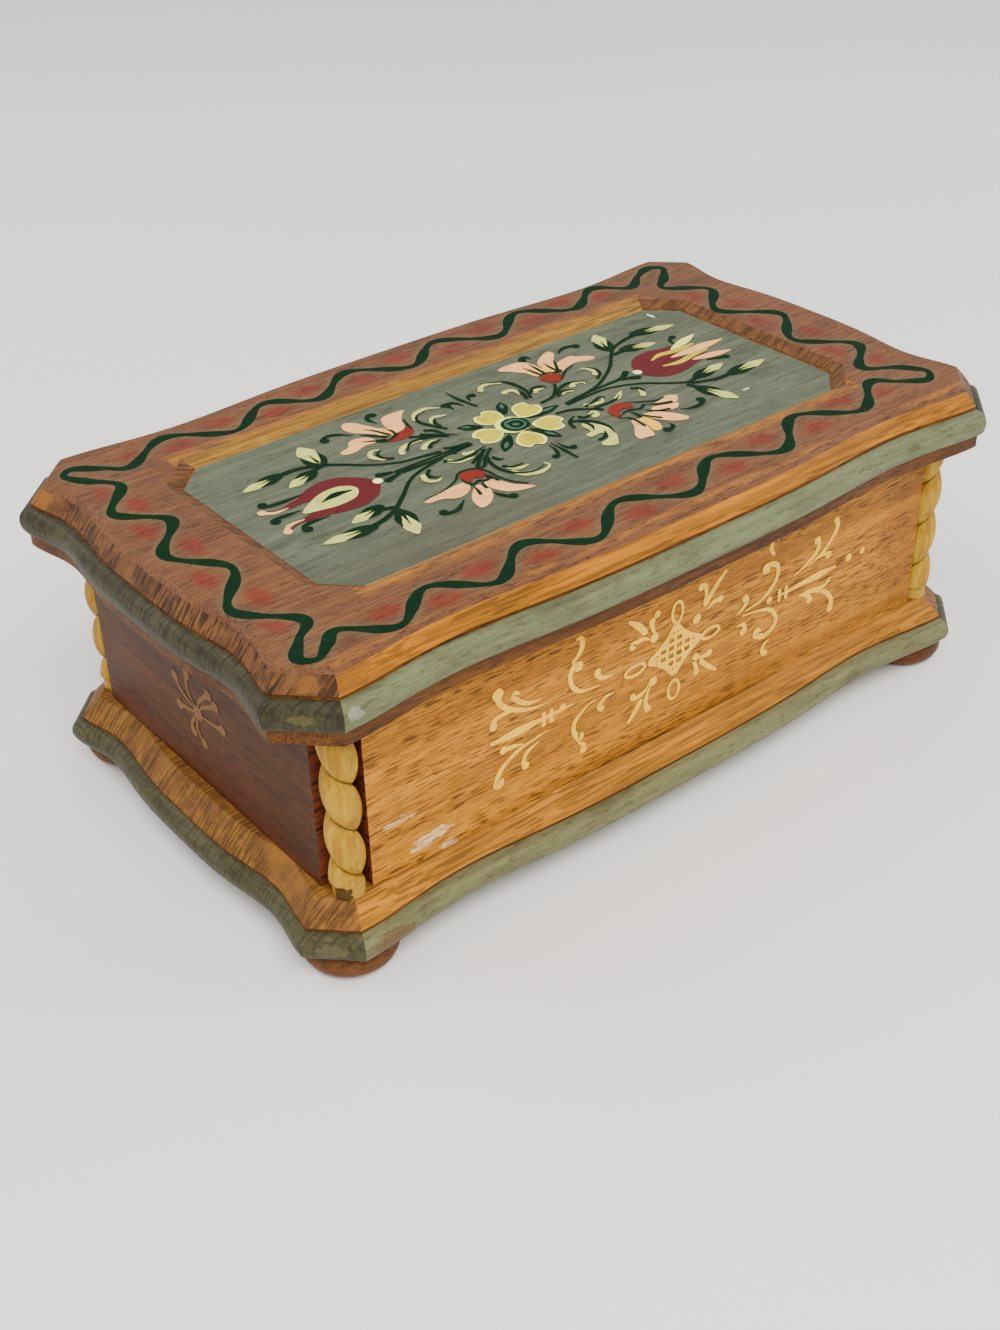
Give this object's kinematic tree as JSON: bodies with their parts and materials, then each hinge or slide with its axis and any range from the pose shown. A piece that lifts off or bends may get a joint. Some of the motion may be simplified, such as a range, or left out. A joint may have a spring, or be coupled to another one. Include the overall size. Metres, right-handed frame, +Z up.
{
  "type": "music box",
  "caption": "Painted wooden box with a hinged moulded lid, a lined jewellery compartment and a key-wound comb-and-cylinder musical movement under a clear cover.",
  "frame": {"origin": "on the floor, midway between the four feet, at the middle of the part's outline", "axes": "+X along the length towards the right end, -Y towards the painted front, +Z up"},
  "size_m": [0.1958, 0.114, 0.0728],
  "materials": {
    "lid_wood": "stained and painted oak, satin",
    "body_wood": "oiled oak with open grain",
    "base_wood": "oiled oak, edge bead painted grey green",
    "post_wood": "dark red-brown stain, rough",
    "column_wood": "pale varnished wood",
    "foot_wood": "red-brown stained wood",
    "inner_wood": "plain wood",
    "felt": "red felt",
    "clear_cover": "clear polished sheet",
    "hinge_brass": "lightly aged brass",
    "movement_brass": "bright brass",
    "steel": "fine ground steel",
    "key_nickel": "nickel plate",
    "dark_plastic": "moulded plastic"
  },
  "bodies": {
    "box": {"front_panel": "body_wood", "back_panel": "body_wood", "left_panel": "body_wood", "right_panel": "body_wood", "corner_post_back_left": "post_wood", "corner_post_back_right": "post_wood", "corner_post_front_left": "post_wood", "corner_post_front_right": "post_wood", "twist_column_back_left": "column_wood", "twist_column_back_right": "column_wood", "twist_column_front_left": "column_wood", "twist_column_front_right": "column_wood", "foot_back_left": "foot_wood", "foot_back_right": "foot_wood", "foot_front_left": "foot_wood", "foot_front_right": "foot_wood", "base_board": "base_wood", "partition": "inner_wood", "cover_cleat_front": "inner_wood", "cover_cleat_back": "inner_wood", "movement_cover": "clear_cover", "felt_lining": "felt", "hinge_left_body_leaf": "hinge_brass", "hinge_left_pin": "steel", "hinge_left_body_screw_1": "hinge_brass", "hinge_left_body_screw_2": "hinge_brass", "hinge_right_body_leaf": "hinge_brass", "hinge_right_pin": "steel", "hinge_right_body_screw_1": "hinge_brass", "hinge_right_body_screw_2": "hinge_brass", "bedplate": "movement_brass", "cylinder_bridge_front": "movement_brass", "cylinder_bridge_back": "movement_brass", "governor_bracket": "movement_brass", "comb": "steel", "comb_screw_1": "steel", "comb_screw_2": "steel", "movement_screw_1": "steel", "movement_screw_2": "steel"},
    "lid": {"lid_board": "lid_wood", "hinge_left_lid_leaf": "hinge_brass", "hinge_left_lid_screw_1": "hinge_brass", "hinge_left_lid_screw_2": "hinge_brass", "hinge_right_lid_leaf": "hinge_brass", "hinge_right_lid_screw_1": "hinge_brass", "hinge_right_lid_screw_2": "hinge_brass"},
    "winding": {"winding_arbor": "steel", "winding_key": "key_nickel"},
    "barrel": {"spring_barrel": "movement_brass", "barrel_gear": "movement_brass", "barrel_cover": "movement_brass", "mainspring": "steel"},
    "cylinder": {"cylinder": "movement_brass", "cylinder_pinion": "steel", "cylinder_wheel": "movement_brass"},
    "governor": {"governor_wheel": "movement_brass", "governor_pinion": "movement_brass"},
    "fan": {"worm_shaft": "steel", "fan": "dark_plastic"},
    "plunger": {"stop_plunger": "steel"}
  },
  "joints": [
    {"name": "lid_hinge", "type": "hinge", "parent": "box", "child": "lid", "pos_m": [0, 0.0505, 0.05815], "axis": [-1, 0, 0], "range_deg": [0, 95]},
    {"name": "winding_turn", "type": "hinge", "parent": "box", "child": "winding", "pos_m": [-0.05, -0.019, 0.01], "axis": [0, 0, 1], "continuous": true},
    {"name": "cylinder_turn", "type": "hinge", "parent": "box", "child": "cylinder", "pos_m": [-0.05, 0.01, 0.0265], "axis": [0, 1, 0], "continuous": true},
    {"name": "barrel_turn", "type": "hinge", "parent": "box", "child": "barrel", "pos_m": [-0.05, -0.019, 0.025], "axis": [0, 0, 1], "continuous": true},
    {"name": "governor_turn", "type": "hinge", "parent": "box", "child": "governor", "pos_m": [-0.04345, 0.024, 0.03109], "axis": [0, 1, 0], "continuous": true},
    {"name": "fan_turn", "type": "hinge", "parent": "box", "child": "fan", "pos_m": [-0.03925, 0.0252, 0.03], "axis": [0, 0, 1], "continuous": true},
    {"name": "plunger_lift", "type": "slide", "parent": "box", "child": "plunger", "axis": [0, 0, 1], "range_m": [0, 0.003]}
  ],
  "couplings": [
    {"joint": "cylinder_turn", "follows": "barrel_turn", "ratio": 4},
    {"joint": "governor_turn", "follows": "barrel_turn", "ratio": -12},
    {"joint": "fan_turn", "follows": "barrel_turn", "ratio": -144},
    {"joint": "plunger_lift", "follows": "lid_hinge", "m_per_rad": 0.0018}
  ]
}
